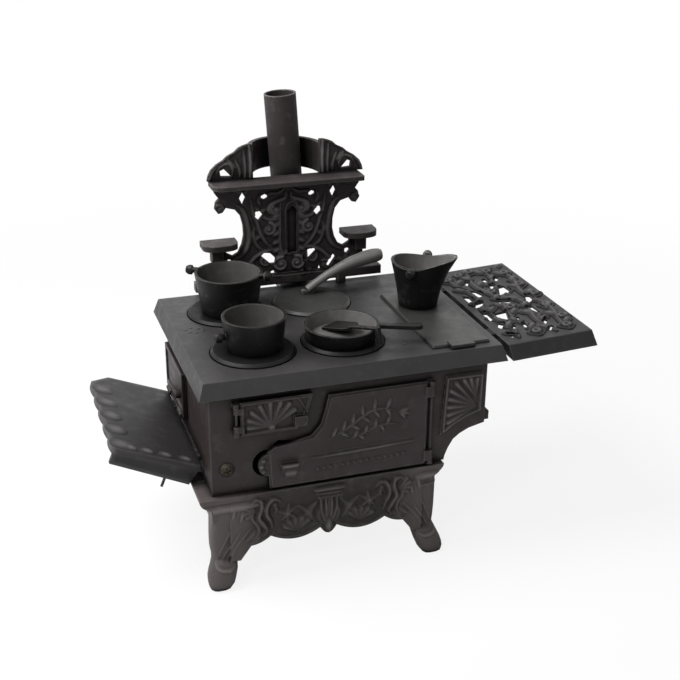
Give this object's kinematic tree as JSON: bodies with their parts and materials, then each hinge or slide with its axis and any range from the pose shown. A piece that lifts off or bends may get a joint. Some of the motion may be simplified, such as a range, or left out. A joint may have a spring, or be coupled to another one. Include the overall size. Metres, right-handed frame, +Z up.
{
  "type": "toy cast iron kitchen range",
  "caption": "Toy kitchen range of cast iron with doors that open, lids that lift, warming shelf, stove pipe, hearth and side shelf, and its pots and tools.",
  "frame": {"origin": "on the floor, under the middle of the overall footprint", "axes": "+X to the right along the front, +Y to the back, +Z up; the oven side faces -Y"},
  "size_m": [0.3166, 0.1786, 0.2785],
  "materials": {
    "iron": "sand cast, thin dark coat, semi-matte",
    "black_iron": "sand cast, blackened",
    "steel": "dull plated"
  },
  "bodies": {
    "stove": {"front_base": "iron", "rear_base": "iron", "left_base_rail": "iron", "right_base_rail": "iron", "bottom_plate": "iron", "front_panel": "iron", "left_panel": "iron", "right_panel": "iron", "rear_panel": "iron", "oven_door_pin": "iron", "draft_door_pin": "iron", "firebox_door_pin": "iron", "hob": "iron", "splash_plate": "iron", "warming_shelf": "iron", "crest": "iron", "tie_bolt": "steel", "tie_nut": "steel", "rear_bolt_high": "steel", "rear_bolt_low": "steel", "splash_screw_left": "steel", "splash_screw_right": "steel"},
    "oven_door": {"oven_door": "iron"},
    "draft_door": {"draft_door": "iron"},
    "firebox_door": {"firebox_door": "iron"},
    "hearth_apron": {"hearth_apron": "iron"},
    "lid_front_left": {"lid_front_left": "black_iron"},
    "lid_front_centre": {"lid_front_centre": "black_iron"},
    "lid_rear_left": {"lid_rear_left": "black_iron"},
    "lid_rear_centre": {"lid_rear_centre": "black_iron"},
    "reservoir_lid": {"reservoir_lid": "black_iron"},
    "stove_pipe": {"stove_pipe": "iron"},
    "side_shelf": {"side_shelf": "iron"},
    "rear_pot": {"rear_pot": "black_iron"},
    "front_pot": {"front_pot": "black_iron"},
    "skillet": {"skillet": "black_iron"},
    "coal_scuttle": {"coal_scuttle": "black_iron"},
    "lid_lifter": {"lid_lifter": "black_iron"},
    "turner": {"turner": "black_iron"}
  },
  "joints": [
    {"name": "oven_door_hinge", "type": "hinge", "parent": "stove", "child": "oven_door", "pos_m": [0.04295, -0.08277, 0.096], "axis": [0, 0, 1], "range_deg": [0, 110]},
    {"name": "draft_door_hinge", "type": "hinge", "parent": "stove", "child": "draft_door", "pos_m": [-0.08355, -0.08277, 0.116], "axis": [0, 0, -1], "range_deg": [0, 100]},
    {"name": "firebox_door_hinge", "type": "hinge", "parent": "stove", "child": "firebox_door", "pos_m": [-0.10215, 0.01483, 0.086], "axis": [0, -1, 0], "range_deg": [0, 60]},
    {"name": "hearth_apron_lift_off", "type": "slide", "parent": "stove", "child": "hearth_apron", "axis": [-1, 0, 0], "range_m": [0, 0.03]},
    {"name": "lid_front_left_lift", "type": "slide", "parent": "stove", "child": "lid_front_left", "axis": [0, 0, 1], "range_m": [0, 0.03]},
    {"name": "lid_front_centre_lift", "type": "slide", "parent": "stove", "child": "lid_front_centre", "axis": [0, 0, 1], "range_m": [0, 0.03]},
    {"name": "lid_rear_left_lift", "type": "slide", "parent": "stove", "child": "lid_rear_left", "axis": [0, 0, 1], "range_m": [0, 0.03]},
    {"name": "lid_rear_centre_lift", "type": "slide", "parent": "stove", "child": "lid_rear_centre", "axis": [0, 0, 1], "range_m": [0, 0.03]},
    {"name": "reservoir_lid_lift", "type": "slide", "parent": "stove", "child": "reservoir_lid", "axis": [0, 0, 1], "range_m": [0, 0.03]},
    {"name": "stove_pipe_lift_off", "type": "slide", "parent": "stove", "child": "stove_pipe", "axis": [-0.068, 0, 0.9977], "range_m": [0, 0.03]},
    {"name": "side_shelf_unhook", "type": "slide", "parent": "stove", "child": "side_shelf", "axis": [1, 0, 0], "range_m": [0, 0.03]},
    {"name": "front_pot_lift", "type": "slide", "parent": "lid_front_left", "child": "front_pot", "axis": [0, 0, 1], "range_m": [0, 0.03]},
    {"name": "rear_pot_lift", "type": "slide", "parent": "lid_rear_left", "child": "rear_pot", "axis": [0, 0, 1], "range_m": [0, 0.03]},
    {"name": "skillet_lift", "type": "slide", "parent": "lid_front_centre", "child": "skillet", "axis": [0, 0, 1], "range_m": [0, 0.03]},
    {"name": "turner_lift", "type": "slide", "parent": "skillet", "child": "turner", "axis": [0, 0, 1], "range_m": [0, 0.015]},
    {"name": "coal_scuttle_lift", "type": "slide", "parent": "reservoir_lid", "child": "coal_scuttle", "axis": [0, 0, 1], "range_m": [0, 0.04]},
    {"name": "lid_lifter_lift", "type": "slide", "parent": "lid_rear_centre", "child": "lid_lifter", "axis": [0, 0, 1], "range_m": [0, 0.01]}
  ]
}
